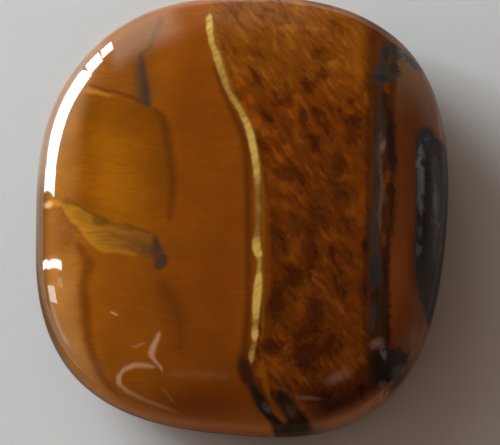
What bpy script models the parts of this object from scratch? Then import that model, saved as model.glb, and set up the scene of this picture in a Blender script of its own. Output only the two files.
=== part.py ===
"""A tumbled tiger's eye stone: one solid, polished, cushion-shaped pebble.

Runs with blender --background --python part.py, or from Blender's text editor.
Metres, +Z up. The stone lies on the flat of its belly at z = 0, centred on the origin,
with its long way along Y, so its bands run along Y and its silky fibres along X.
"""
import math

import bmesh
import bpy
from mathutils import Vector, noise

MM = 0.001

# Plan outline: a closed B-spline drawn by these radii, in millimetres from the middle, which
# stand every 22.5 degrees from +X towards +Y. The curve runs within 0.6 mm of each.
EDGE_RADII = (
    18.6, 20.2, 22.7, 22.0,
    20.7, 21.7, 21.3, 20.1,
    18.3, 20.2, 21.9, 20.7,
    19.8, 21.8, 21.6, 19.2,
)

# Side form, in millimetres, measured from the girdle, the widest line round the stone.
CROWN_RISE = 5.1
BELLY_DROP = 5.1
REST_DROP = 4.85
# A squareness of 2 would be an ellipse; more gives a flatter face and a fuller rim.
CROWN_SQUARENESS = 4.0
BELLY_SQUARENESS = 3.2

# The girdle wanders up and down a little: (waves round the stone, height in mm, start in degrees).
GIRDLE_WAVES = ((1, 0.25, 200.0), (2, 0.30, 35.0), (3, 0.15, 110.0))
# Broad soft unevenness that tumbling leaves on both faces, in millimetres.
SWELL_HEIGHT = 0.16
SWELL_WIDTH = 9.0

# Cuts along each edge of the starting cube, which set how fine the mesh is.
CUBE_CUTS = 23
FLAT_TOLERANCE = 1e-7

STONE_NAME = "tigers_eye_stone"
STONE_COLOUR = (0.28, 0.09, 0.012, 1.0)
STONE_ROUGHNESS = 0.12


def clear_scene():
    """Start from an empty scene."""
    for scene_object in list(bpy.data.objects):
        bpy.data.objects.remove(scene_object, do_unlink=True)


def edge_radius(turn):
    """Plan radius in millimetres at an angle, on the closed B-spline of EDGE_RADII."""
    count = len(EDGE_RADII)
    place = turn / math.tau * count
    step = math.floor(place)
    u = place - step
    weights = (
        (1 - u) ** 3 / 6,
        (3 * u ** 3 - 6 * u ** 2 + 4) / 6,
        (-3 * u ** 3 + 3 * u ** 2 + 3 * u + 1) / 6,
        u ** 3 / 6,
    )
    return sum(weight * EDGE_RADII[(step + k - 1) % count] for k, weight in enumerate(weights))


def girdle_height(turn):
    """Height of the widest line at an angle, in millimetres."""
    return sum(
        height * math.sin(waves * turn + math.radians(start))
        for waves, height, start in GIRDLE_WAVES
    )


def stone_point(direction):
    """Carry a direction from the middle of the stone out to its skin, in millimetres."""
    turn = math.atan2(direction.y, direction.x)
    outward = math.hypot(direction.x, direction.y)
    if direction.z >= 0:
        squareness, height = CROWN_SQUARENESS, CROWN_RISE
    else:
        squareness, height = BELLY_SQUARENESS, -BELLY_DROP
    upward = abs(direction.z)
    reach = (outward ** squareness + upward ** squareness) ** (-1 / squareness)
    radius = edge_radius(turn) * outward * reach
    x = radius * math.cos(turn)
    y = radius * math.sin(turn)
    swell = noise.noise(Vector((x, y, height)) / SWELL_WIDTH) * SWELL_HEIGHT
    z = (height + swell) * upward * reach + girdle_height(turn) * (outward * reach) ** 2
    return Vector((x, y, max(z, -REST_DROP) + REST_DROP))


def cube_direction(corner):
    """Unit direction of a point on the cube from -1 to 1, spaced evenly in angle."""
    return Vector([math.tan(value * math.pi / 4) for value in corner]).normalized()


def shape_stone(mesh_data):
    """Turn a finely cut cube into the stone, with one flat face to rest on."""
    bmesh.ops.create_cube(mesh_data, size=2.0)
    bmesh.ops.subdivide_edges(
        mesh_data, edges=mesh_data.edges[:], cuts=CUBE_CUTS, use_grid_fill=True
    )
    for vert in mesh_data.verts:
        vert.co = stone_point(cube_direction(vert.co)) * MM

    rest_faces = [
        face for face in mesh_data.faces
        if all(vert.co.z < FLAT_TOLERANCE for vert in face.verts)
    ]
    bmesh.ops.dissolve_faces(mesh_data, faces=rest_faces, use_verts=True)
    for face in mesh_data.faces:
        face.smooth = any(vert.co.z > FLAT_TOLERANCE for vert in face.verts)


def centre_on_origin(mesh_data):
    """Put the middle of the plan box over the origin."""
    xs = [vert.co.x for vert in mesh_data.verts]
    ys = [vert.co.y for vert in mesh_data.verts]
    middle = Vector(((min(xs) + max(xs)) / 2, (min(ys) + max(ys)) / 2, 0.0))
    bmesh.ops.translate(mesh_data, verts=mesh_data.verts[:], vec=-middle)


def polished_quartz():
    """Golden-brown polished stone."""
    material = bpy.data.materials.new("polished_quartz")
    material.use_nodes = True
    shader = material.node_tree.nodes["Principled BSDF"]
    shader.inputs["Base Color"].default_value = STONE_COLOUR
    shader.inputs["Roughness"].default_value = STONE_ROUGHNESS
    shader.inputs["Metallic"].default_value = 0.0
    return material


def make_stone():
    """Build the stone in a collection of its own."""
    collection = bpy.data.collections.new("tumbled_tigers_eye")
    bpy.context.scene.collection.children.link(collection)

    mesh_data = bmesh.new()
    shape_stone(mesh_data)
    centre_on_origin(mesh_data)
    mesh = bpy.data.meshes.new(STONE_NAME)
    mesh_data.to_mesh(mesh)
    mesh_data.free()

    mesh.materials.append(polished_quartz())
    stone = bpy.data.objects.new(STONE_NAME, mesh)
    collection.objects.link(stone)
    return stone


clear_scene()
make_stone()
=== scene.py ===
"""The finished look of a tumbled tiger's eye stone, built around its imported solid."""
import math

import bmesh
import bpy
import numpy as np
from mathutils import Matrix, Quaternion, Vector, noise


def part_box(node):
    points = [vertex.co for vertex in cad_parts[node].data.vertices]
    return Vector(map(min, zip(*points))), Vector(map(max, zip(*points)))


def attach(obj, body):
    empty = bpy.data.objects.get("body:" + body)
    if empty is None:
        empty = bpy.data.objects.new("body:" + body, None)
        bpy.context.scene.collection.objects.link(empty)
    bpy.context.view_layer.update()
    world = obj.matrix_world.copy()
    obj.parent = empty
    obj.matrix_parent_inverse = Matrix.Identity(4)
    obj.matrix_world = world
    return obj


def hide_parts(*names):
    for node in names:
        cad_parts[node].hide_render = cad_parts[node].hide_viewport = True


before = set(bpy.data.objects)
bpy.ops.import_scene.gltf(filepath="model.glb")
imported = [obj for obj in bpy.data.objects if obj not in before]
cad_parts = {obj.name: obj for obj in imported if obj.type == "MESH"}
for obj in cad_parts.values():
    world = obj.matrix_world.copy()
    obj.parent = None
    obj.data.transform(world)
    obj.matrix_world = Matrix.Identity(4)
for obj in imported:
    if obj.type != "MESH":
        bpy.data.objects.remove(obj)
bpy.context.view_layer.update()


# The stone: one pebble of banded quartz, ground round and polished to a high gloss by tumbling.
# Its face is gently domed, its rim is round, and it lies on a worn flat under its belly.
MM = 0.001
STONE_NODE = "tigers_eye_stone"

# The outline's radii in millimetres, every 22.5 degrees from +X towards +Y.
EDGE_RADII = np.array((
    18.6, 20.2, 22.7, 22.0,
    20.7, 21.7, 21.3, 20.1,
    18.3, 20.2, 21.9, 20.7,
    19.8, 21.8, 21.6, 19.2,
))
# The side form, in millimetres from the girdle, the widest line round the stone. A squareness of
# 2 would be an ellipse, and more is a flatter face and a fuller rim.
CROWN_RISE = 5.1
BELLY_DROP = 5.1
REST_DROP = 4.85
CROWN_SQUARENESS = 4.0
BELLY_SQUARENESS = 3.2
# How the girdle wanders: waves round the stone, height, and start in degrees.
GIRDLE_WAVES = ((1, 0.25, 200), (2, 0.3, 35), (3, 0.15, 110))
# Broad soft unevenness of both faces.
SWELL_HEIGHT = 0.16
SWELL_WIDTH = 9.0

# Cuts along each edge of the cube that the skin starts from.
SKIN_CUTS = 127
# Fine ripples of the polish, in millimetres. They leave out the flat that the stone lies on.
RIPPLE_HEIGHT = 0.003
RIPPLE_WIDTH = 2.6
RIPPLE_SEED = 4.0
RIPPLE_FROM = 0.3
# A stretch of the rim that tumbling left a little fuller: the turn of its middle and how far it
# reaches, in degrees, and its height in millimetres.
FULL_TURN = 177.0
FULL_REACH = 6.8
FULL_HEIGHT = 0.1
# Free space round each tile of the map of the skin, as a part of its width.
ATLAS_MARGIN = 0.004


def edge_radius(turn):
    """Plan radius in millimetres at each angle, on the closed B-spline of EDGE_RADII."""
    count = len(EDGE_RADII)
    place = turn / math.tau * count
    step = np.floor(place).astype(int)
    u = place - step
    weights = (
        (1 - u) ** 3 / 6,
        (3 * u ** 3 - 6 * u ** 2 + 4) / 6,
        (-3 * u ** 3 + 3 * u ** 2 + 3 * u + 1) / 6,
        u ** 3 / 6,
    )
    return sum(weight * EDGE_RADII[(step + k - 1) % count] for k, weight in enumerate(weights))


def soft_noise(points, width, seed=0.0):
    """Smooth noise from -1 to 1 at each point, with lumps about as wide as width."""
    shift = Vector((seed, seed, seed))
    return np.array([noise.noise(Vector(point) / width + shift) for point in points])


def stone_skin(cube_points):
    """Carry points of a cube from -1 to 1 out to the skin of the stone, in millimetres."""
    directions = np.tan(cube_points * math.pi / 4)
    directions /= np.linalg.norm(directions, axis=1, keepdims=True)
    turn = np.arctan2(directions[:, 1], directions[:, 0])
    outward = np.hypot(directions[:, 0], directions[:, 1])
    upward = np.abs(directions[:, 2])
    crown = directions[:, 2] >= 0
    squareness = np.where(crown, CROWN_SQUARENESS, BELLY_SQUARENESS)
    height = np.where(crown, CROWN_RISE, -BELLY_DROP)
    reach = (outward ** squareness + upward ** squareness) ** (-1 / squareness)
    radius = edge_radius(turn) * outward * reach
    x = radius * np.cos(turn)
    y = radius * np.sin(turn)
    swell = soft_noise(np.stack((x, y, height), 1), SWELL_WIDTH) * SWELL_HEIGHT
    girdle = sum(
        rise * np.sin(waves * turn + math.radians(start)) for waves, rise, start in GIRDLE_WAVES
    )
    z = (height + swell) * upward * reach + girdle * (outward * reach) ** 2
    return np.stack((x, y, np.maximum(z, -REST_DROP) + REST_DROP), 1)


def cube_atlas(mesh, cube_points, cube_normals):
    """Give the skin a map with each side of the starting cube in its own tile."""
    layer = mesh.uv_layers.new(name="OFBake")
    tile, margin = 1 / 3, ATLAS_MARGIN
    places = np.zeros((len(mesh.loops), 2))
    corner = 0
    for polygon, normal in zip(mesh.polygons, cube_normals):
        axis = int(np.argmax(np.abs(normal)))
        row = 0 if normal[axis] > 0 else 1
        across, along = (k for k in range(3) if k != axis)
        for vertex in polygon.vertices:
            point = cube_points[vertex]
            u, v = (point[across] + 1) / 2, (point[along] + 1) / 2
            places[corner] = (
                axis * tile + margin + u * (tile - 2 * margin),
                row / 2 + margin + v * (0.5 - 2 * margin),
            )
            corner += 1
    layer.data.foreach_set("uv", places.ravel())


def make_skin():
    """Build the polished skin, fine enough for its reflections to run smoothly."""
    cage = bmesh.new()
    bmesh.ops.create_cube(cage, size=2.0)
    bmesh.ops.subdivide_edges(cage, edges=cage.edges[:], cuts=SKIN_CUTS, use_grid_fill=True)
    cage.normal_update()
    cube_normals = [tuple(face.normal) for face in cage.faces]
    mesh = bpy.data.meshes.new("polished_stone")
    cage.to_mesh(mesh)
    cage.free()

    cube_points = np.zeros(len(mesh.vertices) * 3)
    mesh.vertices.foreach_get("co", cube_points)
    cube_points = cube_points.reshape(-1, 3)
    cube_atlas(mesh, cube_points, cube_normals)

    skin = stone_skin(cube_points)
    mesh.vertices.foreach_set("co", skin.ravel())
    mesh.update()
    normals = np.zeros(len(mesh.vertices) * 3)
    mesh.vertex_normals.foreach_get("vector", normals)
    ripple = soft_noise(skin, RIPPLE_WIDTH, RIPPLE_SEED) * RIPPLE_HEIGHT
    ripple = np.where(skin[:, 2] > RIPPLE_FROM, ripple, 0.0)
    skin += normals.reshape(-1, 3) * ripple[:, None]

    turn = np.degrees(np.arctan2(skin[:, 1], skin[:, 0]))
    past = (turn - FULL_TURN + 180) % 360 - 180
    fuller = FULL_HEIGHT * np.exp(-0.5 * (past / FULL_REACH) ** 2)

    low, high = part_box(STONE_NODE)
    skin[:, :2] -= (skin[:, :2].max(0) + skin[:, :2].min(0)) / 2
    skin[:, :2] *= 1 + fuller[:, None] / edge_radius(np.radians(turn))[:, None]
    skin *= MM
    skin[:, :2] += (np.array(low)[:2] + np.array(high)[:2]) / 2
    skin[:, 2] += low.z
    mesh.vertices.foreach_set("co", skin.ravel())
    mesh.update()
    mesh.shade_smooth()
    stone = bpy.data.objects.new("polished_stone", mesh)
    bpy.context.scene.collection.objects.link(stone)
    return stone


# Shader wiring, used by every effect of the stone.
def wire(node, inputs):
    """Link each input of a node to a socket, or set it to a value."""
    for name, value in inputs.items():
        if isinstance(value, bpy.types.NodeSocket):
            node.id_data.links.new(value, node.inputs[name])
        else:
            node.inputs[name].default_value = value


def put(kind, inputs=(), tree=None, **settings):
    """Add a wired shader node to a tree, or else to the one that its inputs' sockets are in."""
    inputs = dict(inputs)
    sockets = [value for value in inputs.values() if isinstance(value, bpy.types.NodeSocket)]
    tree = tree or sockets[0].id_data
    made = tree.nodes.new(kind)
    for name, value in settings.items():
        setattr(made, name, value)
    wire(made, inputs)
    return made


def calc(operation, *values):
    """One Math node."""
    return put("ShaderNodeMath", enumerate(values), operation=operation).outputs[0]


def calc_vector(operation, *vectors):
    """One Vector Math node."""
    return put("ShaderNodeVectorMath", enumerate(vectors), operation=operation).outputs[0]


def scaled(vector, factor):
    """A vector times a number."""
    inputs = {0: vector, "Scale": factor}
    return put("ShaderNodeVectorMath", inputs, operation="SCALE").outputs[0]


def split(vector):
    """The three numbers of a vector."""
    return put("ShaderNodeSeparateXYZ", {0: vector}).outputs


def centred(number):
    """Move a number from 0 to 1 so that its middle is 0."""
    return calc("SUBTRACT", number, 0.5)


def clouds(place, scale, detail=2.0, roughness=0.5, distortion=0.0):
    """Cloudy noise. Its outputs are a number around 0.5 and a colour of three such numbers."""
    return put("ShaderNodeTexNoise", {
        "Vector": place, "Scale": scale, "Detail": detail, "Roughness": roughness,
        "Distortion": distortion,
    }).outputs


def times(*masks):
    """The product of several masks."""
    result = masks[0]
    for mask in masks[1:]:
        result = calc("MULTIPLY", result, mask)
    return result


def glide(value, start, end, low=0.0, high=1.0):
    """Run smoothly from low to high while value goes from start to end."""
    made = put("ShaderNodeMapRange", {
        "Value": value, "From Min": start, "From Max": end, "To Min": low, "To Max": high,
    }, interpolation_type="SMOOTHSTEP")
    return made.outputs["Result"]


def lay(under, over, cover, clamped=True):
    """Lay one colour over another where cover is 1."""
    under, over = ((*part, 1.0) if isinstance(part, tuple) else part for part in (under, over))
    made = put(
        "ShaderNodeMix", {0: cover, 6: under, 7: over}, data_type="RGBA", clamp_factor=clamped,
    )
    return made.outputs[2]


def tint(colour, factor):
    """Make a colour lighter or darker by a factor."""
    return lay((0.0, 0.0, 0.0), colour, factor, clamped=False)


def start_group(name, takes, gives):
    """Open a shader group with named inputs and outputs, each with its kind."""
    tree = bpy.data.node_groups.new(name, "ShaderNodeTree")
    for way, sockets in (("INPUT", takes), ("OUTPUT", gives)):
        for label, kind in sockets.items():
            tree.interface.new_socket(label, in_out=way, socket_type="NodeSocket" + kind)
    return tree, tree.nodes.new("NodeGroupInput").outputs, tree.nodes.new("NodeGroupOutput").inputs


def place_group(group, inputs):
    """Place a shader group, wire it, and give its output."""
    return put("ShaderNodeGroup", inputs, node_tree=group).outputs[0]


def silk_group():
    """Fine parallel fibres along X that lean and wander a little, from 0 to 1."""
    tree, takes, gives = start_group(
        "silk_fibres",
        {"Place": "Vector", "Length": "Float", "Fineness": "Float", "Wander": "Float"},
        {"Fibre": "Float"},
    )
    drift = clouds(takes["Place"], 0.2)[0]
    sway = calc("MULTIPLY", centred(drift), takes["Wander"])
    parts = split(takes["Place"])
    wavy = calc("MULTIPLY_ADD", sway, 4.0, parts[1])
    leaning = calc("MULTIPLY_ADD", parts[0], 0.1, wavy)
    strand = put("ShaderNodeCombineXYZ", {
        0: calc("DIVIDE", parts[0], takes["Length"]),
        1: calc("DIVIDE", leaning, takes["Fineness"]),
        2: calc("DIVIDE", parts[2], takes["Fineness"]),
    })
    fibre = clouds(strand.outputs[0], 1.0, detail=4.0, roughness=0.65)
    tree.links.new(fibre[0], gives["Fibre"])
    return tree


def streak_group():
    """Short slanting streaks that flow like brushed fur, from 0 to 1."""
    tree, takes, gives = start_group(
        "slanting_streaks",
        {"Place": "Vector", "Slant": "Float", "Length": "Float", "Width": "Float",
         "Sway": "Float"},
        {"Streak": "Float"},
    )
    bend = clouds(takes["Place"], 0.5)[1]
    shift = scaled(calc_vector("SUBTRACT", bend, (0.5, 0.5, 0.5)), takes["Sway"])
    turned = put("ShaderNodeVectorRotate", {
        "Vector": calc_vector("ADD", takes["Place"], shift), "Angle": takes["Slant"],
    }, rotation_type="Z_AXIS")
    parts = split(turned.outputs[0])
    strand = put("ShaderNodeCombineXYZ", {
        0: calc("DIVIDE", parts[0], takes["Length"]),
        1: calc("DIVIDE", parts[1], takes["Width"]),
        2: calc("DIVIDE", parts[2], takes["Length"]),
    })
    streak = clouds(strand.outputs[0], 1.0, detail=3.0, distortion=0.25)
    tree.links.new(streak[0], gives["Streak"])
    return tree


def blot_group():
    """A soft leaning oval: 1 inside, 0 outside."""
    tree, takes, gives = start_group(
        "blot",
        {"Place": "Vector", "Middle": "Vector", "Size": "Vector", "Lean": "Float",
         "Ragged": "Float", "Softness": "Float"},
        {"Cover": "Float"},
    )
    turned = put("ShaderNodeVectorRotate", {
        "Vector": calc_vector("SUBTRACT", takes["Place"], takes["Middle"]),
        "Angle": takes["Lean"],
    }, rotation_type="Z_AXIS")
    oval = {0: calc_vector("DIVIDE", turned.outputs[0], takes["Size"])}
    reach = put("ShaderNodeVectorMath", oval, operation="LENGTH").outputs["Value"]
    outer = calc("ADD", takes["Softness"], 1.0)
    inner = calc("SUBTRACT", 1.0, takes["Softness"])
    cover = glide(calc("ADD", reach, takes["Ragged"]), outer, inner)
    tree.links.new(cover, gives["Cover"])
    return tree


def place_streaks(group, place, kind):
    """Place streaks of one kind: its slant in radians, length, width and sway."""
    return place_group(group, enumerate((place, *kind)))


# How far from the middle a curve is known, how far past its ends a line fades out, and how deep
# a blot goes, all in millimetres.
CURVE_REACH = 25.0
LINE_FADE = 0.4
BLOT_DEPTH = 2.5


def course(along, points):
    """A number that runs smoothly through points (place along, number)."""
    made = put("ShaderNodeFloatCurve", {"Value": along})
    mapping = made.mapping
    mapping.use_clip = False
    mapping.extend = "HORIZONTAL"
    mapping.clip_min_x = mapping.clip_min_y = -CURVE_REACH
    mapping.clip_max_x = mapping.clip_max_y = CURVE_REACH
    points = sorted(points)
    curve = mapping.curves[0]
    curve.points[0].location = points[0]
    curve.points[1].location = points[-1]
    for point in points[1:-1]:
        curve.points.new(*point)
    for point in curve.points:
        point.handle_type = "AUTO_CLAMPED"
    mapping.update()
    return made.outputs[0]


class Face:
    """The stone's face to draw on. It holds places in millimetres and makes masks from them."""

    def __init__(self, x, y, depth, ragged, blot_shape):
        self.x, self.y, self.ragged, self.blot_shape = x, y, ragged, blot_shape
        self.place = put("ShaderNodeCombineXYZ", {0: x, 1: y, 2: depth}).outputs[0]

    def line(self, points, softness, crosses=False):
        """1 inside a line, from its points (x, y, half width). It thins out at both ends."""
        along, across = (self.x, self.y) if crosses else (self.y, self.x)
        rows = sorted((x, y, half) if crosses else (y, x, half) for x, y, half in points)
        middle = course(along, [row[:2] for row in rows])
        halves = [(row[0], row[2] if row[2] > 0 else -softness) for row in rows]
        start, end = halves[0][0] - LINE_FADE, halves[-1][0] + LINE_FADE
        halves = [(start, -softness), *halves, (end, -softness)]
        apart = calc("ABSOLUTE", calc("SUBTRACT", across, middle))
        outside = calc("SUBTRACT", apart, course(along, halves))
        return glide(outside, softness, -softness)

    def beyond(self, points, softness, crosses=False):
        """1 on the right of a line, or above it if it crosses the stone, from its points (x, y)."""
        along, across = (self.x, self.y) if crosses else (self.y, self.x)
        middle = course(along, [point if crosses else point[::-1] for point in points])
        return glide(calc("SUBTRACT", across, middle), -softness, softness)

    def short_of(self, points, softness, crosses=False):
        """1 on the left of a line, or below it if it crosses the stone."""
        return calc("SUBTRACT", 1.0, self.beyond(points, softness, crosses))

    def level(self, rows):
        """A number that changes down the stone, from its values (y, number)."""
        return course(self.y, rows)

    def blot(self, x, y, length, width, lean=0.0, softness=0.5, rough=1.0):
        """1 inside a leaning oval."""
        return place_group(self.blot_shape, {
            "Place": self.place, "Middle": (x, y, 0.0), "Size": (length, width, BLOT_DEPTH),
            "Lean": math.radians(-lean), "Ragged": times(self.ragged, rough),
            "Softness": softness,
        })

    def draw_line(self, colour, tone, cover, softness, points, crosses=False):
        """Lay a line of one tone over a colour."""
        mask = times(self.line(points, softness, crosses), cover)
        return lay(colour, tone, mask)

    def draw_lines(self, colour, lines):
        """Lay lines over a colour, each from its tone, cover, softness and points."""
        for line in lines:
            colour = self.draw_line(colour, *line)
        return colour

    def draw_blots(self, colour, blots, softness=0.5, rough=1.0):
        """Lay blots over a colour, each from its tone, cover and oval."""
        for tone, cover, *oval in blots:
            mask = times(self.blot(*oval, softness=softness, rough=rough), cover)
            colour = lay(colour, tone, mask)
        return colour


# What is drawn on the face, by region, in millimetres from the middle. An edge lists points (x, y),
# a line lists points (x, y, half width), and a level lists (y, number). A blot lists x, y, half
# length, half width and, where it leans, its lean in degrees. Where a row starts with a tone, its
# cover comes next, and then the softness if it is a line.
HONEY = (0.215, 0.058, 0.0025)
CHESTNUT = (0.184, 0.044, 0.002)
TAWNY = (0.15, 0.044, 0.0045)
AMBER = (0.222, 0.06, 0.0018)
# The brighter core of the amber patch is painted silky sheen.
AMBER_SHEEN = (0.285, 0.086, 0.0022)
STRIP_GOLD = (0.233, 0.088, 0.0132)
STRIP_ORANGE = (0.163, 0.052, 0.009)
STRIP_PALE = (0.272, 0.108, 0.022)
WEDGE_GOLD = (0.28, 0.11, 0.0085)
BRIGHT_GOLD = (0.305, 0.118, 0.0085)
WEDGE_DRAB = (0.172, 0.061, 0.0072)
OLIVE = (0.12, 0.048, 0.005)
UMBER = (0.08, 0.019, 0.002)
SLATE = (0.042, 0.026, 0.018)
PLUM = (0.07, 0.029, 0.012)
EDGE_BROWN = (0.165, 0.041, 0.0016)

GROUND_BLOTS = ((EDGE_BROWN, 0.6, -9.9, 13.2, 1.6, 2.4), (UMBER, 0.3, -8.3, -8.6, 2, 3))
STRIP_EDGE = (
    (-13.5, 13.9), (-14.3, 11.9), (-14.6, 9.9), (-15, 6.9), (-15.1, 0.2), (-14.8, -3.6),
    (-14.9, -9.2), (-14.6, -11.9), (-14.1, -14.1), (-13.1, -16.1), (-12, -17.6),
)
DARK_STRIP = (
    (-15.2, -3.2, 0), (-14.9, -4, 0.3), (-14.4, -5, 0.46), (-14, -6, 0.55), (-14.4, -7.7, 0.46),
    (-14.2, -10.1, 0.46), (-14, -12.4, 0.41), (-13.4, -14.6, 0.36), (-12.5, -16.4, 0.36),
    (-11.4, -17.6, 0.27), (-10.2, -18.5, 0),
)
PATCH_TOP = ((-15.2, 11.2), (-13.6, 10.5), (-12.4, 10.2), (-10.4, 9.5), (-8.5, 8.9))
PATCH_SIDE = (
    (-8.7, 9.2), (-7.9, 8.7), (-7.3, 7.9), (-7, 6.7), (-6.6, 3.9), (-6.4, 1.6), (-6.6, -1.3),
    (-6.8, -2.9),
)
PATCH_LEVEL = ((10, 0.66), (8.5, 0.72), (6, 0.82), (3, 0.9), (0, 0.96), (-3, 0.96))
PATCH_SHADE = (
    (-8.9, 9.4, 0), (-7.9, 8.7, 0.22), (-7.3, 7.9, 0.36), (-7, 6.7, 0.42), (-6.6, 3.9, 0.42),
    (-6.4, 1.6, 0.36), (-6.6, -1.3, 0.3), (-6.8, -2.9, 0),
)
SEAM = (
    (-15, 11.9, 0), (-14.4, 11.6, 0.12), (-12.8, 10.8, 0.2), (-12, 10.6, 0.18), (-11.1, 10.3, 0.16),
    (-9.9, 9.8, 0.22), (-8.9, 9.3, 0.14), (-8.2, 8.9, 0),
)
SEAM_GLOW = (
    (-15.4, 11.2, 0), (-14.6, 10.9, 0.24), (-13.4, 10.6, 0.2), (-12.4, 10.2, 0.1), (-11.4, 9.9, 0),
)
WEDGE_TOP = (
    (-17.1, 0.4), (-15.4, -0.1), (-14.5, -0.7), (-13.3, -1.4), (-12.5, -1.8), (-11, -2.2),
    (-9.5, -2.7), (-7.9, -3.4),
)
WEDGE_LINE = (
    (-17.3, 0.5, 0), (-16.3, 0.1, 0.14), (-15.4, -0.1, 0.16), (-14.5, -0.7, 0.14),
    (-13.3, -1.4, 0.18), (-12.5, -1.8, 0.24), (-11.9, -2.1, 0.11), (-11, -2.2, 0.07),
    (-10.3, -2.4, 0.22), (-9.5, -2.7, 0.15), (-8.6, -3, 0.14), (-7.9, -3.4, 0),
)
WEDGE_FOOT = (
    (-16.7, -0.2), (-15.6, -1.5), (-14.4, -3), (-13.5, -4.1), (-12.6, -4.5), (-11.1, -4.6),
    (-10, -4.9), (-8.9, -5.5),
)
WEDGE_GLOW = (
    (-16.9, -0.2, 0), (-15.6, -1.5, 0.3), (-14.4, -3, 0.24), (-13.5, -4.1, 0.24),
    (-12.6, -4.6, 0.22), (-11.1, -4.7, 0.22), (-10, -5, 0.16), (-8.9, -5.5, 0),
)
WEDGE_BLOTS = (
    (OLIVE, 0.8, -13, -1.9, 0.8, 0.42, -25), (OLIVE, 0.6, -10.2, -2.6, 0.34, 0.28, -60),
    (OLIVE, 0.5, -9.5, -4.2, 1, 0.36, -12), (OLIVE, 0.4, -11.4, -3.3, 0.9, 0.2, -25),
)
BOOT = (
    (-8.1, -2.8, 0), (-7.9, -3.5, 0.3), (-7.8, -4.1, 0.34), (-7.7, -4.8, 0.6), (-7.5, -5.5, 0.59),
    (-7.5, -6.2, 0.46), (-7.7, -6.8, 0),
)
BOOT_BLOTS = (
    (SLATE, 0.85, -7.25, -5.6, 0.6, 0.42, 60), (SLATE, 0.6, -7.8, -4.1, 0.5, 0.25, 90),
    (PLUM, 0.5, -8.6, -4.7, 0.5, 0.7, 90),
)
TRAIL = (
    (-7.7, -6.7, 0), (-7.2, -7.9, 0.5), (-6.4, -9.3, 0.64), (-5.8, -11.1, 0.73),
    (-5.6, -13.4, 0.64), (-5.6, -15, 0),
)
BLUE_VEIN = (
    (-7.6, 18.9, 0), (-7.6, 17.8, 0.27), (-8, 16.9, 0.23), (-8.3, 15.9, 0.23), (-8.6, 14.9, 0.15),
    (-9.4, 14.2, 0.23), (-9.3, 13.4, 0.27), (-9.1, 12.1, 0.32), (-9, 11.1, 0.32),
    (-8.9, 10.2, 0.36), (-8.7, 9.3, 0.32), (-8.5, 8.5, 0),
)
BLUE_LEVEL = ((14.2, 0.85), (15.6, 0.45))
BLUE_HALO = ((-9.9, 14.6, 0), (-9.7, 13, 0.35), (-9.4, 11, 0.55), (-9.1, 9.6, 0.55), (-8.7, 8.4, 0))


def paint_left(face, fibre):
    """Honey ground, the amber patch with its painted sheen, the golden wedge and the slate smudges.
    """
    colour = lay(HONEY, CHESTNUT, glide(face.x, -9.0, -5.0))
    above = times(face.beyond(PATCH_TOP, 0.3, crosses=True), glide(face.x, -7.0, -9.5))
    colour = lay(colour, TAWNY, above)
    colour = face.draw_blots(colour, GROUND_BLOTS, 0.8)

    inside = times(
        face.short_of(PATCH_TOP, 0.25, crosses=True),
        face.beyond(WEDGE_TOP, 0.2, crosses=True), face.short_of(PATCH_SIDE, 0.4),
    )
    # The amber patch: the stone's own amber, with a brighter core of painted silky sheen.
    glow = lay(AMBER, AMBER_SHEEN, face.blot(-12.0, 3.0, 2.6, 4.6, 15.0, 0.8))
    glow = lay(glow, EDGE_BROWN, times(glide(face.x, -12.4, -14.2), 0.45))
    glow = tint(glow, glide(face.x, -9.5, -7.0, 0.98, 0.84))
    glow = tint(glow, face.level(PATCH_LEVEL))
    colour = lay(colour, glow, inside)
    colour = face.draw_line(colour, UMBER, 0.66, 0.4, PATCH_SHADE)

    colour = face.draw_line(colour, UMBER, 0.7, 0.22, SEAM, crosses=True)
    colour = face.draw_line(colour, WEDGE_GOLD, 0.75, 0.24, SEAM_GLOW, crosses=True)
    gold = lay(STRIP_GOLD, STRIP_ORANGE, face.blot(-16.2, -2.0, 1.6, 2.6, 0.0, 0.8))
    gold = lay(gold, STRIP_PALE, glide(face.y, -5.0, -8.5))
    colour = lay(colour, gold, times(face.short_of(STRIP_EDGE, 0.75), 0.9))
    colour = face.draw_line(colour, UMBER, 0.62, 0.45, DARK_STRIP)

    wedge = times(
        face.short_of(WEDGE_TOP, 0.12, crosses=True),
        face.beyond(WEDGE_FOOT, 0.2, crosses=True), glide(face.x, -7.6, -8.4),
    )
    body = lay(WEDGE_GOLD, WEDGE_DRAB, glide(face.x, -14.0, -10.0))
    body = tint(body, glide(fibre, 0.35, 0.65, 0.9, 1.12))
    colour = lay(colour, body, times(wedge, 0.92))
    colour = face.draw_line(colour, OLIVE, 0.8, 0.16, WEDGE_LINE, crosses=True)
    colour = face.draw_line(colour, BRIGHT_GOLD, 0.9, 0.26, WEDGE_GLOW, crosses=True)
    colour = face.draw_blots(colour, WEDGE_BLOTS)

    colour = face.draw_line(colour, PLUM, 0.65, 0.5, BLUE_HALO)
    blue = times(face.line(BLUE_VEIN, 0.3), face.level(BLUE_LEVEL))
    colour = lay(colour, SLATE, blue)
    colour = face.draw_line(colour, PLUM, 0.9, 0.3, BOOT)
    colour = face.draw_blots(colour, BOOT_BLOTS)
    return face.draw_line(colour, UMBER, 0.52, 1.0, TRAIL)


SHELL_TOP = ((0.11, 0.025, 0.0018), (0.19, 0.051, 0.0035), (0.27, 0.086, 0.007))
SHELL_LOW = ((0.042, 0.0075, 0.0007), (0.095, 0.02, 0.0012), (0.175, 0.04, 0.0022))
SHELL_LEVEL = (
    (20, 0.86), (15, 0.86), (12.5, 1.1), (10, 1.28), (6, 1.2), (3, 1.08), (0, 0.98), (-6, 0.95),
    (-10, 0.95), (-13, 1.1), (-16, 1.2),
)
COLUMN_GOLD = (0.2, 0.057, 0.003)
COLUMN_ORANGE = (0.118, 0.024, 0.001)
# Each kind of streak by its slant in radians, length, width and sway.
BROAD_STREAKS = (1.0, 2.2, 0.75, 1.4)
NARROW_STREAKS = (0.9, 1.5, 0.36, 0.8)
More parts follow.
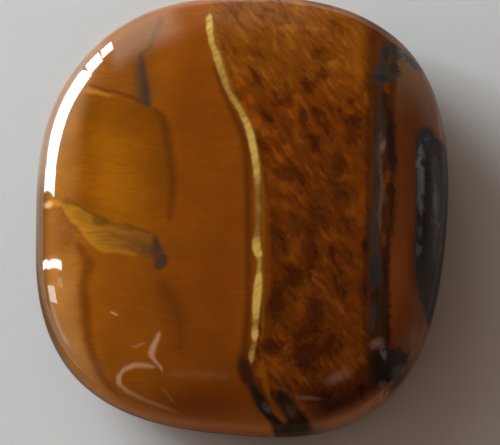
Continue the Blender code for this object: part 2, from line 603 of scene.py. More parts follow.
# The dark lumps are clearer low on the face, below LOW_LUMPS.
LUMP_SPREAD = 1.25
LUMP_COVER = 0.66
LOW_LUMP_COVER = 0.95
LOW_LUMPS = -6.0
DARK_BLOTS = (
    (7.4, 12.1, 0.46, 0.55, 60), (7, 14.3, 0.55, 0.36, 20), (5.8, 11.1, 0.27, 0.73, 30),
    (4.1, 10.4, 0.36, 0.73, 30), (10.4, 7.8, 0.46, 0.55, 60), (10.3, 6.7, 0.55, 0.91),
    (5.6, 7.7, 0.32, 0.91, 10), (8.9, 3.4, 0.55, 0.91), (8.9, 1, 0.46, 0.73),
    (4.3, 2.7, 0.55, 0.55), (2.9, -2.9, 0.73, 0.73), (6.7, -2, 0.82, 0.91, -20),
    (6.1, -4.8, 0.41, 1.46), (4.9, -6.9, 0.91, 0.64, 30), (3, -9.4, 0.64, 1.28),
    (6.6, -9.9, 0.46, 0.82), (6.4, -11.6, 0.64, 0.73), (5.4, -12.5, 0.73, 0.91),
    (5.7, -13.9, 1.19, 0.82), (8, -13.1, 0.55, 0.82), (2.7, -13.3, 0.73, 0.55),
    (5.7, -15, 0.82, 0.73), (7.1, -18.2, 1.3, 1, -20),
)
# The light blots above HIGH_LIGHTS take their tone from the top of the shell.
LIGHT_COVER = 0.72
HIGH_LIGHTS = 13.0
LIGHT_BLOTS = (
    (7.2, 2.7, 0.41, 0.14, -50), (9.6, 11.3, 0.36, 0.55), (6.4, 16.9, 0.82, 0.46),
    (4.2, 16.8, 0.55, 0.36), (4.8, -4.2, 0.46, 0.82), (5.2, -9.7, 0.36, 0.82),
    (4, -0.4, 0.73, 0.36, -40), (3.9, 1.3, 0.73, 0.36, -30), (8.3, 13.1, 0.55, 0.46),
    (9.6, -14.2, 1, 0.5, 25), (3.2, -15.4, 1.2, 0.5, -10),
)
GOLD_COLUMN = (
    (10.8, 18.6, 0), (10.6, 17.3, 0.6), (10.7, 15.2, 0.7), (10.5, 13.1, 0.6), (10.5, 11.1, 0.45),
    (10.5, 9.4, 0),
)
ORANGE_COLUMN = (
    (10.9, 7.5, 0), (10.7, 4.8, 0.27), (10.7, 0.1, 0.36), (10.5, -3.6, 0.46), (10.3, -7.3, 0.46),
    (10.2, -10.1, 0.55), (10, -12, 0.6), (9.9, -13.8, 0),
)


def three_tones(tones, number, first, second):
    """Run through three tones as a number passes one range and then another."""
    colour = lay(tones[0], tones[1], glide(number, *first))
    return lay(colour, tones[2], glide(number, *second))


def paint_right(face, place, streaks):
    """Mottled tortoiseshell right of the gold vein: broad slanting streaks over dark lumps."""
    broad = place_streaks(streaks, place, BROAD_STREAKS)
    narrow = place_streaks(streaks, place, NARROW_STREAKS)
    lumps = clouds(place, 0.5, detail=3.0)[0]
    mottle = calc("ADD", times(broad, 0.4), times(lumps, 0.45))
    mottle = calc("ADD", mottle, times(narrow, 0.15))
    low = three_tones(SHELL_LOW, mottle, (0.36, 0.49), (0.5, 0.64))
    top = three_tones(SHELL_TOP, mottle, (0.36, 0.5), (0.5, 0.66))
    shell = lay(low, top, glide(face.y, 8.5, 17.0))
    shell = tint(shell, face.level(SHELL_LEVEL))
    shell = face.draw_blots(shell, (
        (SHELL_LOW[0], LOW_LUMP_COVER if y < LOW_LUMPS else LUMP_COVER,
         x, y, length * LUMP_SPREAD, width * LUMP_SPREAD, *lean)
        for x, y, length, width, *lean in DARK_BLOTS
    ), 0.8, 1.5)
    shell = face.draw_blots(shell, (
        ((SHELL_TOP if y > HIGH_LIGHTS else SHELL_LOW)[2], LIGHT_COVER, x, y, *shape)
        for x, y, *shape in LIGHT_BLOTS
    ), 0.8, 1.4)
    shell = face.draw_line(shell, COLUMN_GOLD, 0.7, 0.7, GOLD_COLUMN)
    shell = face.draw_line(shell, COLUMN_ORANGE, 0.7, 0.5, ORANGE_COLUMN)
    return tint(shell, glide(narrow, 0.3, 0.7, 0.88, 1.12))


# Painted shade over the foot of the face: its dark red tone, and the edge above it.
FOOT_SHADE_RED = (0.13, 0.021, 0.0006)
SHADED_FOOT_EDGE = (
    (-8.3, -16.2), (-7, -16.5), (-3.8, -16.7), (0.2, -17), (2.5, -17.4), (4.7, -18), (6.8, -17.5),
    (8.8, -16.4), (10.2, -15.3), (11.1, -14.4),
)
# Painted light round the rim: a painted reflection and painted shade on the left, a painted glow of
# light through the stone below and at the lower right, and a painted reflection at the upper right.
SIDE_RIM_REFLECTION = (0.14, 0.08, 0.046)
SIDE_RIM_SHADE = (0.058, 0.019, 0.003)
LOW_RIM_GLOW = (0.6, 0.19, 0.03)
LOW_RIGHT_RIM_GLOW = (0.6, 0.25, 0.095)
TOP_RIGHT_RIM_REFLECTION = (0.28, 0.158, 0.098)
SIDE_RIM_LEVEL = ((-15, 0.2), (-11.5, 0.8), (-6, 0.92), (8, 0.92))


def paint_rims(face, colour, height):
    """Painted shade over the foot, a painted glow round the rim below, and a painted reflection and
    painted shade round the left rim.
    """
    # Painted shade over the foot: a dark red tone on the left, and darker towards the right.
    foot = times(
        face.short_of(SHADED_FOOT_EDGE, 0.45, crosses=True), glide(face.x, -7.8, -3.6),
        glide(face.x, 11.8, 10.5), 0.9,
    )
    colour = lay(colour, FOOT_SHADE_RED, times(foot, glide(face.x, 1.0, -0.6), 0.38))
    colour = lay(colour, tint(colour, glide(face.x, -1.0, 2.0, 1.0, 0.68)), foot)
    # A painted glow of light through the stone, round the rim below.
    rim = glide(height, 4.2, 2.0)
    low = times(rim, glide(face.x, -16.6, -12.6), glide(face.y, -12.6, -16.6))
    colour = lay(colour, LOW_RIM_GLOW, times(low, glide(face.x, 8.0, 4.0), 0.85))
    # Round the left rim, a painted reflection of the floor above and painted shade below.
    side = times(glide(height, 4.35, 3.2), glide(face.x, -12.0, -15.0))
    skin = lay(SIDE_RIM_SHADE, SIDE_RIM_REFLECTION, glide(face.y, 0.5, 4.5))
    return lay(colour, skin, times(side, face.level(SIDE_RIM_LEVEL)))


def paint_right_rims(face, colour, height):
    """Painted light round the right rim: a painted glow of light through the stone low down, and a
    painted reflection of the warm room high up.
    """
    rim = glide(height, 3.4, 1.8)
    low = times(rim, glide(face.x, 4.0, 9.0), glide(face.y, -9.0, -12.0))
    low = times(low, glide(face.x, 12.0, 15.5, 0.85, 0.35))
    colour = lay(colour, LOW_RIGHT_RIM_GLOW, low)
    high = times(
        glide(height, 4.3, 3.0), glide(height, -3.0, -0.5, 0.3, 1.0),
        glide(face.y, 5.0, 7.5),
    )
    high = times(high, glide(face.x, 12.5, 17.0), 0.9)
    return lay(colour, TOP_RIGHT_RIM_REFLECTION, high)


EMBER = (0.165, 0.034, 0.0012)
UMBER_BAND = (0.072, 0.017, 0.002)
BAND_BODY = (0.04, 0.014, 0.006)
BRONZE = (0.092, 0.023, 0.004)
PEACH = (0.12, 0.055, 0.022)
BARK = (0.022, 0.007, 0.002)
INK = (0.011, 0.007, 0.0055)
SOOT = (0.008, 0.005, 0.004)
ASH = (0.038, 0.024, 0.018)
MOSS = (0.024, 0.019, 0.013)
LILAC = (0.085, 0.046, 0.032)
STEEL = (0.06, 0.071, 0.077)
FROST = (0.125, 0.143, 0.152)
PALE = (0.2, 0.105, 0.06)
DUSK = (0.018, 0.0185, 0.0195)

# Long streaks that run along the bands.
STRATA = (1.571, 4.0, 0.34, 0.8)
HEM_LEVEL = ((12, 1), (4, 1), (-2, 1.2), (-7, 1.65), (-14, 1.4))
BAND_EDGE = (
    (14.2, 13.6), (14.1, 8.8), (14.1, 4.9), (14.2, 0.2), (13.7, -2.6), (13.4, -5.4), (13.4, -12.7),
)
BAND_BED = (
    (12.9, 14.2, 0), (12.9, 12, 0.95), (12.8, 4, 0.9), (12.5, -2, 0.85), (12.2, -8, 0.8),
    (12.2, -14, 0.85), (12.2, -16.5, 0.7),
)
BAND_LINES = (
    (ASH, 0.7, 0.3, (
        (12.6, 13.5, 0), (12.6, 12, 0.5), (12.6, 10, 0.1), (12.6, 7, 0.42), (12.4, 4.9, 0.5),
        (12.4, 3, 0.4), (12.5, 0.3, 0.55), (12.2, -0.6, 0.45), (12, -4.1, 0.5), (12.2, -7.3, 0.45),
        (11.9, -10.1, 0.4), (11.7, -11.4, 0.3), (11.8, -12.9, 0),
    )),
    (BARK, 0.8, 0.24, (
        (13, 11.3, 0), (13, 10.1, 0.14), (13.3, 8.9, 0.23), (13.6, 8, 0.36), (13.6, 4.9, 0.38),
        (13.8, 3.2, 0.35), (13.7, 2.1, 0.09), (13.6, 1.1, 0.36), (13.6, -0.8, 0.24),
        (13.2, -3.8, 0.27), (13, -5.1, 0.32), (13, -9.1, 0.29), (13.1, -12.5, 0.33),
        (13.2, -13.8, 0),
    )),
    (INK, 0.7, 0.2, (
        (13.5, 8.6, 0), (13.6, 7.4, 0.3), (13.6, 4.9, 0.34), (13.7, 3, 0.2), (13.7, 2.3, 0),
    )),
    (BARK, 0.6, 0.28, (
        (11.7, 13, 0), (11.6, 11.8, 0.14), (11.7, 9.9, 0.14), (11.5, 7.3, 0.09), (11.5, 4.4, 0.14),
        (11.4, 2, 0.09), (11.4, -0.8, 0.18), (11.3, -3.2, 0.23), (11.2, -4.4, 0.32),
        (11.2, -5.7, 0.14), (11.1, -7.3, 0.14), (11, -9.2, 0.2), (11.1, -11.9, 0.2),
        (11.2, -13.9, 0),
    )),
    (BARK, 0.4, 0.4, ((15.5, 0, 0), (15.4, -3, 0.2), (15.5, -7.3, 0.3), (16, -9.5, 0))),
    (LILAC, 0.65, 0.16, (
        (12.6, 7.4, 0), (12.6, 6.4, 0.23), (12.7, 5.4, 0.33), (12.5, 4.5, 0.27), (12.6, 3.3, 0.08),
        (12.7, 2.2, 0.18), (12.6, 0.3, 0.18), (12.5, -0.6, 0.2), (12.5, -2.5, 0.12),
        (12.4, -3.4, 0),
    )),
)
BAND_BLOTS = (
    (MOSS, 0.8, 12.3, 2, 0.3, 0.9), (DUSK, 0.85, 12, -6.6, 0.4, 1.5),
    (PLUM, 0.6, 13, 0.4, 0.35, 0.4), (BARK, 0.8, 12, -8.9, 0.35, 0.9),
    (EMBER, 0.5, 13.2, 2.2, 0.22, 0.7), (EMBER, 0.45, 12.8, -3.4, 0.2, 0.7),
    (MOSS, 0.7, 12.3, -10.4, 0.3, 0.7), (BARK, 0.9, 11.15, -4, 0.3, 0.5),
    (ASH, 0.95, 13.6, 14.4, 1, 1.25), (ASH, 0.95, 13.2, 12.4, 1.2, 1),
    (PLUM, 0.6, 13.8, 13.9, 0.35, 0.7), (DUSK, 0.85, 12.8, 11.9, 0.6, 0.4, -10),
    (DUSK, 0.7, 13.2, 14.5, 0.35, 0.7), (EMBER, 0.5, 13.3, 10.9, 0.32, 0.45),
    (DUSK, 0.8, 14.1, 12.8, 0.35, 0.8, 20), (STEEL, 0.85, 15.2, 14.3, 1, 0.55, -40),
    (STEEL, 0.8, 16.1, 13.5, 0.8, 0.4, -45), (SOOT, 0.95, 13.4, -15.2, 1.55, 1.6),
    (SOOT, 0.9, 14.2, -14.2, 0.9, 0.8), (BARK, 0.6, 12.2, -14.6, 0.9, 1.2),
    (PALE, 0.4, 12.8, 5.2, 0.22, 0.5), (EMBER, 0.5, 13, 1.6, 0.2, 0.5),
)
TWO_TOP = ((15.4, 5.6), (16, 6.4), (16.7, 7.3), (17.3, 7.1), (18.2, 6.2), (19.5, 5))
TWO_EDGE = (
    (16.5, 7.4), (15.9, 6.5), (15.9, 5), (15.8, 0.2), (15.7, -2.6), (15.6, -4), (15.8, -7.6),
    (16.1, -8.9), (16.6, -10.2), (17.4, -12.2),
)
TWO_LINES = (
    (FROST, 0.7, 0.2, (
        (16.4, 6.4, 0), (16.4, 5, 0.24), (16.2, 3.8, 0.22), (16.3, 2.2, 0.26), (16.2, 0.3, 0.22),
        (16.3, -0.8, 0.18), (16.5, -1.8, 0),
    )),
    (INK, 0.95, 0.18, (
        (16.9, 6.1, 0), (16.9, 4.5, 0.16), (17, 3, 0.23), (17, 1.3, 0.27), (16.9, -1.1, 0.36),
        (16.9, -3.4, 0.46), (16.7, -5.7, 0.32), (16.7, -7.5, 0.32), (16.9, -9.7, 0.36),
    )),
    (STEEL, 0.85, 0.3, (
        (17.8, 5.4, 0), (17.8, 4, 0.3), (17.8, 2, 0.35), (17.7, -2.5, 0.3), (17.6, -5.3, 0.1),
        (17.5, -6.2, 0),
    )),
    (FROST, 0.6, 0.14, (
        (17.7, 2.9, 0), (17.7, 1.4, 0.12), (17.7, 0, 0.24), (17.7, -1, 0.2), (17.8, -2.5, 0.1),
        (17.7, -4.4, 0),
    )),
)
TWO_BLOTS = (
    (DUSK, 0.8, 16.7, 6.4, 0.7, 0.5), (STEEL, 0.6, 16.9, 6.1, 0.3, 0.22, 30),
    (STEEL, 0.85, 16, -4.4, 0.27, 0.6), (DUSK, 0.7, 16.2, -6.3, 0.3, 1),
    (BARK, 0.6, 17.2, -7.2, 0.35, 1.2), (STEEL, 0.5, 16.1, -2.6, 0.2, 0.6),
)


def paint_bands(face, colour, strata, height):
    """The dark blue-grey bands near the right rim, with the brown band between them."""
    colour = lay(colour, UMBER_BAND, times(glide(face.x, 10.7, 12.2), 0.9))
    bed = lay(BAND_BODY, BARK, glide(strata, 0.45, 0.6))
    colour = face.draw_line(colour, bed, 0.75, 0.5, BAND_BED)
    hem = lay(BRONZE, PEACH, glide(face.y, 7.0, 13.0))
    hem = tint(hem, face.level(HEM_LEVEL))
    hem = tint(hem, glide(strata, 0.3, 0.7, 1.25, 0.75))
    colour = lay(colour, hem, face.beyond(BAND_EDGE, 0.3))
    # The right rim's painted glow and painted reflection.
    colour = paint_right_rims(face, colour, height)
    colour = face.draw_lines(colour, BAND_LINES)
    colour = face.draw_blots(colour, BAND_BLOTS, 0.4, 0.9)
    two = times(
        face.beyond(TWO_EDGE, 0.32), face.short_of(TWO_TOP, 0.3, crosses=True),
        glide(face.y, -13.5, -11.0),
    )
    colour = lay(colour, DUSK, two)
    colour = face.draw_lines(colour, TWO_LINES)
    colour = face.draw_blots(colour, TWO_BLOTS, 0.4, 0.9)
    banded = times(glide(face.x, 11.0, 12.4), glide(face.y, 11.0, 6.5, 0.4, 1.0))
    within = times(banded, glide(strata, 0.3, 0.7, 0.72, 1.28))
    rest = calc("SUBTRACT", 1.0, banded)
    return tint(colour, calc("ADD", within, rest))


GOLD_VEIN = (
    (-3.1, 18.1, 0.24), (-3.1, 16.9, 0.3), (-3, 16.1, 0.26), (-2.8, 15, 0.27), (-2.5, 14.3, 0.33),
    (-2.3, 13.5, 0.34), (-2, 12.5, 0.31), (-1.7, 11.6, 0.31), (-1.5, 10.9, 0.25),
    (-1.2, 10.3, 0.25), (-0.8, 9.6, 0.3), (-0.1, 8.4, 0.31), (0.6, 6.7, 0.33), (1, 4.8, 0.31),
    (1.25, 3.1, 0.3), (1.35, 1, 0.24), (1.4, -2.3, 0.23), (1.3, -3.3, 0.28), (1.25, -4.1, 0.38),
    (1.4, -4.9, 0.38), (1.5, -5.4, 0.19), (1.5, -6.4, 0.19), (1.45, -7.2, 0.31), (1.3, -9, 0.37),
    (1.2, -10.5, 0.3), (1.15, -11.4, 0.25), (1.1, -12.4, 0.3), (1.1, -13, 0.17), (1, -13.4, 0.23),
    (0.8, -14.3, 0.23), (0.8, -14.8, 0.14), (0.8, -15.2, 0),
)
VEIN_SHADOW = (
    (-2.9, 14.5, 0), (-2.5, 12.5, 0.14), (-1.8, 10.4, 0.18), (-0.7, 7.9, 0.3), (0.1, 5.8, 0.34),
    (0.4, 2.9, 0.34), (0.5, -4.6, 0.3), (0.5, -7.8, 0.28), (0.4, -11.1, 0.32), (0.2, -13.8, 0.4),
    (0.1, -15.2, 0.62), (0.4, -16.5, 0.45), (0.8, -17.8, 0),
)
VEIN_EMBER = (
    (1.8, 3.3, 0), (2, 0.1, 0.23), (2.1, -3.7, 0.34), (2.2, -6.5, 0.36), (2.2, -8.6, 0.28),
    (1.9, -10.5, 0),
)
VEIN_SIDE = (
    (-2.7, 18.2, 0), (-2.5, 16, 0.2), (-2.1, 14.3, 0.22), (-1.5, 12, 0.22), (-1.1, 11, 0.14),
    (-0.5, 9.6, 0.1), (0.4, 8.4, 0.08), (1.3, 5, 0.1), (1.8, 1, 0.12), (1.85, -2.5, 0.1),
    (1.85, -8, 0.08), (1.8, -12, 0.05), (1.5, -14.6, 0),
)
VEIN_TONE = (
    (18, 0.72), (16.9, 0.86), (15.9, 0.62), (14.3, 0.62), (12.5, 0.5), (10.3, 0.42), (8.6, 0.54),
    (7, 0.9), (5, 1.05), (3.4, 0.72), (2.7, 0.9), (2, 0.46), (0.6, 0.22), (-0.2, 0.17),
    (-0.5, 0.36), (-1, 0.22), (-1.7, 0.14), (-2.5, 0.22), (-3.2, 0.34), (-3.7, 0.8), (-4.8, 1.02),
    (-5.3, 0.6), (-6.4, 0.46), (-7.2, 1.1), (-8.5, 1.08), (-10, 1.1), (-10.9, 0.66), (-11.4, 0.32),
    (-12.2, 0.9), (-12.9, 0.7), (-13.1, 0.2), (-13.4, 0.32), (-13.7, 0.25), (-14, 0.55),
    (-14.6, 0.62),
)
VEIN_GOLD = (0.52, 0.325, 0.072)
VEIN_AMBER = (0.13, 0.038, 0.002)
SIDE_GOLD = (0.215, 0.08, 0.0052)
PITCH = (0.014, 0.007, 0.004)
# Streaks that cross the vein, and break up its gold.
TICKS = (-0.6, 1.6, 0.34, 0.4)
LENS_ONE = (
    (0.6, -16.1, 0), (0.9, -16.9, 0.3), (1.1, -17.5, 0.45), (1.5, -18.2, 0.58), (1.9, -18.9, 0.58),
    (2.5, -19.6, 0.54), (3.1, -20.1, 0.6), (3.6, -20.6, 0.9),
)
LENS_TWO = (
    (3.1, -16.9, 0), (3.4, -17.6, 0.5), (3.75, -18.2, 0.76), (4.15, -18.8, 0.82),
    (4.55, -19.3, 0.92), (4.95, -19.9, 1.05), (5, -20.6, 1.35),
)
EMBER_LINE = (
    (1.7, -14, 0), (1.8, -15.2, 0.27), (1.9, -16.1, 0.29), (2.1, -17, 0.29), (2.3, -17.8, 0.18),
    (2.6, -18.4, 0.12), (2.9, -19, 0.05), (3.1, -19.4, 0),
)
VEIN_BED = (
    (UMBER, 0.85, 0.34, VEIN_SHADOW), (EMBER, 0.75, 0.35, VEIN_EMBER),
    (SIDE_GOLD, 0.75, 0.25, VEIN_SIDE),
)
FOOT_BLOTS = ((BARK, 0.78, 0.3, -15.8, 0.62, 1.3, 15),)
FOOT_LINES = (
    (PITCH, 0.93, 0.3, LENS_ONE), (PITCH, 0.93, 0.42, LENS_TWO),
    (COLUMN_GOLD, 0.8, 0.18, EMBER_LINE),
)


def paint_vein(face, colour, ticks):
    """The gold vein down the middle, with its dark and glowing sides and the lenses at its foot."""
    colour = face.draw_lines(colour, VEIN_BED)
    tone = times(face.level(VEIN_TONE), glide(ticks, 0.3, 0.7, 0.7, 1.25))
    gold = lay(VEIN_AMBER, VEIN_GOLD, tone)
    colour = lay(colour, gold, face.line(GOLD_VEIN, 0.15))
    colour = face.draw_blots(colour, FOOT_BLOTS, 0.6)
    return face.draw_lines(colour, FOOT_LINES)


# The pale tone of the painted reflections and of the nick.
PALE_MARK = (0.46, 0.245, 0.125)
# Short streaks that break up the glints.
SPECKLE = (0.7, 0.7, 0.3, 0.5)
# Small painted glints: pale and blue-grey reflections on the polish, broken up by the speckle.
GLINT_SPREAD = 1.2
GLINTS = (
    (FROST, 0.9, 12.75, -13.9, 0.2, 0.42, 10), (STEEL, 0.9, 14, -15.3, 0.27, 0.6, -40),
    (FROST, 0.7, 12.7, -16.6, 0.27, 0.23), (FROST, 0.5, 14.9, 14.7, 0.2, 0.15),
    (FROST, 0.5, 15, 14.1, 0.2, 0.12), (FROST, 0.55, 2.15, -18.9, 0.17, 0.38, 40),
    (PALE, 0.35, 4.4, -19.2, 0.28, 0.5, 40), (PALE, 0.6, 5.9, -18, 0.8, 0.14, -4),
    (PALE, 0.7, 8.7, -16.1, 0.9, 0.34, 25), (PALE, 0.8, 15.5, -12.3, 0.24, 0.9, -12),
    (PALE, 0.85, 12.1, -13.1, 0.5, 0.34, 30),
)
# Faint pale loops, a branch and a ray low on the left, and a line above the foot: painted
# reflections on the polish.
LOOP_ONE = (
    (-7.4, -11.6, 0), (-7.6, -12.5, 0.16), (-7.8, -13, 0.22), (-8.1, -13.7, 0.28),
    (-8.2, -14.3, 0.24), (-7.9, -14.8, 0.15), (-7.4, -15.4, 0.11), (-7.1, -16.4, 0),
)
BRANCH = ((-10.6, -13.3, 0), (-9.7, -13.5, 0.06), (-9.1, -13.3, 0.06), (-8.3, -13.1, 0))
LOOP_TWO = (
    (-11.2, -16.3, 0.14), (-11, -15.9, 0.2), (-10.7, -15.6, 0.22), (-10.1, -15.3, 0.22),
    (-9.4, -15.2, 0.19), (-8.3, -15.3, 0.14), (-7.2, -15.5, 0),
)
LOOP_FOOT = (
    (-11.2, -16.6, 0.14), (-10.9, -17, 0.2), (-10.7, -17.2, 0.2), (-10, -17.6, 0.16),
    (-8.8, -18.2, 0.12), (-7.4, -18.7, 0.1), (-6.1, -19.2, 0.06), (-4.9, -19.7, 0),
)
RAY = ((-7.6, -16.9, 0), (-7, -17.5, 0.05), (-6.5, -18.1, 0.05), (-5.5, -19.2, 0))
FOOT_GLOW = ((-7.6, -16, 0), (-5.6, -16, 0.2), (-2, -16.1, 0.2), (-0.2, -16.2, 0))
# Short pale spots: a painted reflection on a loop, a small nick, and a painted glint on the left
# rim.
# Each spot by its cover, place, half length, half width, lean, softness and roughness.
PALE_SPOTS = (
    (0.7, -11.15, -16.4, 0.24, 0.55, 0, 0.5, 0.6), (0.7, -11.6, -10.5, 0.36, 0.11, -25, 0.5, 1),
    (0.6, -17.8, 0, 0.36, 0.3, 0, 0.6, 1),
)


def paint_reflections_and_nick(face, colour, speckle):
    """Painted reflections: faint pale loops, a line above the foot and pale spots, with a small nick
    among them, and small painted glints.
    """
    colour = face.draw_line(colour, PALE_MARK, 0.8, 0.24, LOOP_ONE)
    for points, cover in ((LOOP_TWO, 0.78), (LOOP_FOOT, 0.62), (BRANCH, 0.4), (RAY, 0.35)):
        colour = face.draw_line(colour, PALE_MARK, cover, 0.22, points, crosses=True)
    colour = face.draw_line(colour, PALE_MARK, 0.12, 0.55, FOOT_GLOW, crosses=True)
    for cover, *spot in PALE_SPOTS:
        colour = lay(colour, PALE_MARK, times(face.blot(*spot), cover))
    for tone, cover, x, y, length, width, *lean in GLINTS:
        size = length * GLINT_SPREAD, width * GLINT_SPREAD
        spot = face.blot(x, y, *size, *lean, softness=0.8)
        colour = lay(colour, tone, times(spot, speckle, cover))
    return colour


# Below the girdle the bands lean towards X and Y by these parts of the depth, and waver.
BAND_LEAN = (0.3, -0.25)
BAND_WAVER = 0.8
# How ragged each part of the drawing is: how far noise and fibres push its edges along X and noise
# along Y, in millimetres, and how rough its blots are.
LEFT_EDGES = (0.35, 0.3, 0.4, 1.2)
MIDDLE_EDGES = (0.14, 0.1, 0.3, 0.8)
RIGHT_EDGES = (0.8, 0.2, 1.2, 1.8)
QUARTZ_IOR = 1.54


def stone_material():
    """Silky banded quartz under a clear polish."""
    material = bpy.data.materials.new("polished_tigers_eye")
    material.use_nodes = True
    tree = material.node_tree
    shader = tree.nodes["Principled BSDF"]
    silk, streaks, blot_shape = silk_group(), streak_group(), blot_group()

    place = scaled(put("ShaderNodeTexCoord", tree=tree).outputs["Object"], 1 / MM)
    fibre = place_group(silk, {
        "Place": place, "Length": 4.5, "Fineness": 0.34, "Wander": 0.7,
    })
    fine_fibre = place_group(silk, {
        "Place": place, "Length": 1.6, "Fineness": 0.11, "Wander": 0.7,
    })
    parts = split(place)
    height = calc("SUBTRACT", parts[2], REST_DROP)
    depth = calc("MAXIMUM", calc("MULTIPLY", height, -1.0), 0.0)
    drift = split(clouds(place, 0.13)[1])
    drift_x = centred(drift[0])
    waver = calc("MULTIPLY", drift_x, calc("MULTIPLY", depth, BAND_WAVER))
    x = calc("ADD", parts[0], calc("MULTIPLY_ADD", depth, BAND_LEAN[0], waver))
    lift = calc("MULTIPLY", centred(drift[1]), depth)
    y = calc("ADD", parts[1], calc("MULTIPLY_ADD", depth, BAND_LEAN[1], lift))

    rag = split(clouds(place, 1.5, detail=4.0, roughness=0.65)[1])
    rag_x = centred(rag[0])
    rag_y = centred(rag[1])
    feather = centred(fine_fibre)

    def face_with(x_rag, x_feather, y_rag, roughness):
        """The face seen through ragged edges of a given size."""
        feathered = calc("MULTIPLY_ADD", feather, x_feather, x)
        moved_x = calc("MULTIPLY_ADD", rag_x, x_rag, feathered)
        moved_y = calc("MULTIPLY_ADD", rag_y, y_rag, y)
        return Face(moved_x, moved_y, depth, times(rag_x, roughness), blot_shape)

    left, middle, right = (face_with(*edges) for edges in (LEFT_EDGES, MIDDLE_EDGES, RIGHT_EDGES))

    grain = calc("ADD", times(fibre, 0.6), times(fine_fibre, 0.4))
    patchy = clouds(place, 0.3)[0]
    strength = glide(patchy, 0.35, 0.65, 0.35, 1.0)
    cloud = glide(patchy, 0.3, 0.7, 0.92, 1.08)
    threads = calc("MULTIPLY_ADD", centred(grain), strength, cloud)
    colour = tint(paint_left(left, fibre), threads)
    shell = paint_right(right, place, streaks)
    vein_side = tuple((x, y) for x, y, _ in GOLD_VEIN + LENS_ONE)
    colour = lay(colour, shell, middle.beyond(vein_side, 0.2))
    strata = place_streaks(streaks, place, STRATA)
    colour = paint_bands(right, paint_rims(middle, colour, height), strata, height)
    colour = paint_vein(middle, colour, place_streaks(streaks, place, TICKS))
    speckle = place_streaks(streaks, place, SPECKLE)
    colour = paint_reflections_and_nick(middle, colour, glide(speckle, 0.26, 0.48))

    bump = put("ShaderNodeBump", {"Height": grain, "Strength": 0.2, "Distance": 0.00002})
    wire(shader, {
        "Base Color": colour, "Normal": bump.outputs[0],
        "Roughness": glide(grain, 0.3, 0.7, 0.36, 0.48),
        "Metallic": glide(grain, 0.3, 0.7, 0.05, 0.2),
        "IOR": QUARTZ_IOR, "Specular IOR Level": 0.0,
        "Coat Weight": 1.0, "Coat Roughness": 0.03, "Coat IOR": QUARTZ_IOR,
    })
    return material


stone = make_skin()
stone.data.materials.append(stone_material())
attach(stone, "root")
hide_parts(STONE_NODE)


# The floor: a plain pale board, large enough to reach past every view. The polish mirrors it
# with a painted pool of light on the side of the window, and painted shade on the near side.
FLOOR_SIZE = 4.0
FLOOR_COLOUR = (0.46, 0.46, 0.46)
FLOOR_MIRRORED_FAR = (0.32, 0.28, 0.26)
FLOOR_MIRRORED_SHADE = (0.11, 0.09, 0.08)
FLOOR_MIRRORED_LIT = (0.9, 0.82, 0.76)
# Each of those two sides by its direction, as parts of X and Y, and how far out it starts and is
# full, in metres.
NEAR_SIDE = (-0.5, -0.87, 0.01, 0.02)
LIT_SIDE = (-0.77, 0.64, 0.014, 0.026)


def floor_side(place, part_x, part_y, start, full):
    """1 on one side of the stone."""
    along = calc("ADD", times(place[0], part_x), times(place[1], part_y))
    return glide(along, start, full)


def make_floor():
    """A plain matt floor just under the stone."""
    bpy.ops.mesh.primitive_plane_add(size=FLOOR_SIZE)
    floor = bpy.context.object
    floor.name = "floor"
    material = bpy.data.materials.new("matt_floor")
    material.use_nodes = True
    tree = material.node_tree
    shader = tree.nodes["Principled BSDF"]
    place = split(put("ShaderNodeTexCoord", tree=tree).outputs["Object"])
    mirrored = lay(FLOOR_MIRRORED_FAR, FLOOR_MIRRORED_SHADE, floor_side(place, *NEAR_SIDE))
    mirrored = lay(mirrored, FLOOR_MIRRORED_LIT, floor_side(place, *LIT_SIDE))
    seen_in_polish = put("ShaderNodeLightPath", tree=tree).outputs["Is Glossy Ray"]
    wire(shader, {
        "Base Color": lay(FLOOR_COLOUR, mirrored, seen_in_polish), "Roughness": 0.9,
        "Specular IOR Level": 0.0,
    })
    floor.data.materials.append(material)
    return floor


make_floor()


# The light: a tall window of three panes to the upper left, with its jamb, a slit of light and lit
# folds of a curtain beside it, and light from many walls above. The panels don't show to the camera.
FACE_HEIGHT = 0.01
PANEL_DISTANCE = 0.5
COOL = (0.9, 0.97, 1.0)
# Each panel by its name, the turns and rises that it fills and its radiance, and how far it leans.
PANELS = (
    ("window_end", (121, 125.5), (5.5, 26.5), 22, 0),
    ("window_middle", (126, 131.9), (4, 30), 22, 0),
    ("window_long", (132.4, 158.6), (3, 33), 23, 0),
    ("window_jamb", (156.3, 161.3), (2, 34), 22, 7.5),
    ("window_slit_low", (167.9, 169.4), (0, 24.5), 22, 5),
    ("window_slit_high", (164.1, 165.6), (23.5, 48), 22, 12),
    ("curtain_gap", (172.5, 178.8), (15, 35), 8, 5),
    ("curtain_top", (165.5, 168.5), (41, 48), 1.6, 9),
    ("curtain_fold", (179.5, 199), (13, 23), 1.2, 0),
)
# The light from above: its brightness and colour, and its size and height in metres.
FILL_LEVEL = 0.17
FILL_TINT = (1.0, 0.66, 0.5)
FILL_SIZE = 1.2
FILL_HEIGHT = 0.6
# The share of what falls on the stone that would come from where the fill is.
FILL_SHARE = 0.55


def area_light(name, wide, tall, energy, colour):
    """A rectangular light, facing down, that doesn't show to the camera."""
    light = bpy.data.lights.new(name, "AREA")
    light.shape = "RECTANGLE"
    light.size, light.size_y = wide, tall
    light.energy = energy
    light.color = colour
    panel = bpy.data.objects.new(name, light)
    panel.visible_camera = False
    bpy.context.scene.collection.objects.link(panel)
    return panel


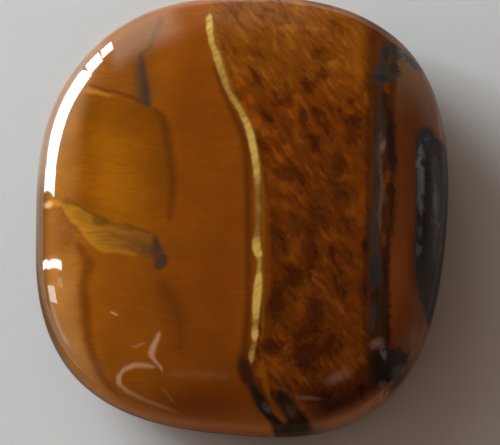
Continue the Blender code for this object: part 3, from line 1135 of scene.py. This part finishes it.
def soft_panel(name, turns, rises, radiance, lean):
    """A light facing the stone that fills a range of turn and rise, in degrees."""
    turn, rise = math.radians(sum(turns) / 2), math.radians(sum(rises) / 2)
    wide = 2 * PANEL_DISTANCE * math.tan(math.radians(turns[1] - turns[0]) / 2) * math.cos(rise)
    tall = 2 * PANEL_DISTANCE * math.tan(math.radians(rises[1] - rises[0]) / 2)
    panel = area_light(name, wide, tall, radiance * math.pi * wide * tall, COOL)
    away = Vector((
        math.cos(turn) * math.cos(rise), math.sin(turn) * math.cos(rise), math.sin(rise),
    ))
    panel.location = away * PANEL_DISTANCE + Vector((0.0, 0.0, FACE_HEIGHT))
    facing = away.to_track_quat("Z", "Y") @ Quaternion((0.0, 0.0, 1.0), math.radians(lean))
    panel.rotation_euler = facing.to_euler()


for panel_values in PANELS:
    soft_panel(*panel_values)


# The fill is too spread out to show in the polish.
fill = area_light(
    "fill", FILL_SIZE, FILL_SIZE, FILL_LEVEL * math.pi * FILL_SIZE ** 2 / FILL_SHARE, FILL_TINT,
)
fill.location = (0.0, 0.0, FILL_HEIGHT)
fill.visible_glossy = False


# Soft patches of the room, each by its turn from and to, softness, top and softness of the top,
# in degrees, its brightness and its colour.
ROOM = (
    (101, 121.5, 3, 46, 7, 1.8, (0.96, 1.12, 1.02)), (82, 100, 8, 44, 8, 0.45, (1, 0.95, 0.8)),
    (-25, 52, 14, 46, 14, 0.3, (1, 0.72, 0.56)), (-166, -134, 8, 52, 8, 0.36, (1, 0.8, 0.66)),
    (-178, -159, 4, 30, 6, 1, (1, 0.95, 0.85)),
)
AIR = (0.04, 0.031, 0.026)
BACKDROP = (0.56, 0.56, 0.56)


def air_light():
    """The room around the stone: dim air with soft pale patches."""
    world = bpy.data.worlds.new("air")
    world.use_nodes = True
    tree = world.node_tree
    parts = split(put("ShaderNodeTexCoord", tree=tree).outputs["Generated"])
    turn = calc("DEGREES", calc("ARCTAN2", parts[1], parts[0]))
    rise = calc("DEGREES", calc("ARCSINE", parts[2]))
    colour = AIR
    for start, end, soft, top, top_soft, level, hue in ROOM:
        cover = times(
            glide(turn, start - soft, start + soft),
            glide(turn, end + soft, end - soft), glide(rise, top + top_soft, top - top_soft),
        )
        colour = lay(colour, tuple(level * part for part in hue), cover)
    seen = put("ShaderNodeLightPath", tree=tree).outputs["Is Camera Ray"]
    tree.links.new(lay(colour, BACKDROP, seen), tree.nodes["Background"].inputs["Color"])
    bpy.context.scene.world = world


air_light()


# The camera: it looks down on the stone from the side of its lower edge, 14 degrees off plumb.
PICTURE_WIDTH = 500
MM_PER_PIXEL = 0.0926
CAMERA_RISE = 76.0
CAMERA_DISTANCE = 0.3
SENSOR_WIDTH = 36.0
CLIP_START = 0.01
AIM = Vector((0.000671, -0.000754, 0.00485))


def make_camera():
    """Place the camera so that the stone fills the frame as it does in the photograph."""
    camera = bpy.data.objects.new("camera", bpy.data.cameras.new("camera"))
    rise = math.radians(CAMERA_RISE)
    away = Vector((0.0, -math.cos(rise), math.sin(rise)))
    camera.location = AIM + away * CAMERA_DISTANCE
    camera.rotation_euler = away.to_track_quat("Z", "Y").to_euler()
    camera.data.sensor_width = SENSOR_WIDTH
    camera.data.lens = SENSOR_WIDTH * CAMERA_DISTANCE / (PICTURE_WIDTH * MM_PER_PIXEL * MM)
    camera.data.clip_start = CLIP_START
    bpy.context.scene.collection.objects.link(camera)
    bpy.context.scene.camera = camera


make_camera()
bpy.context.scene.view_settings.view_transform = "Standard"
bpy.context.scene.view_settings.look = "None"
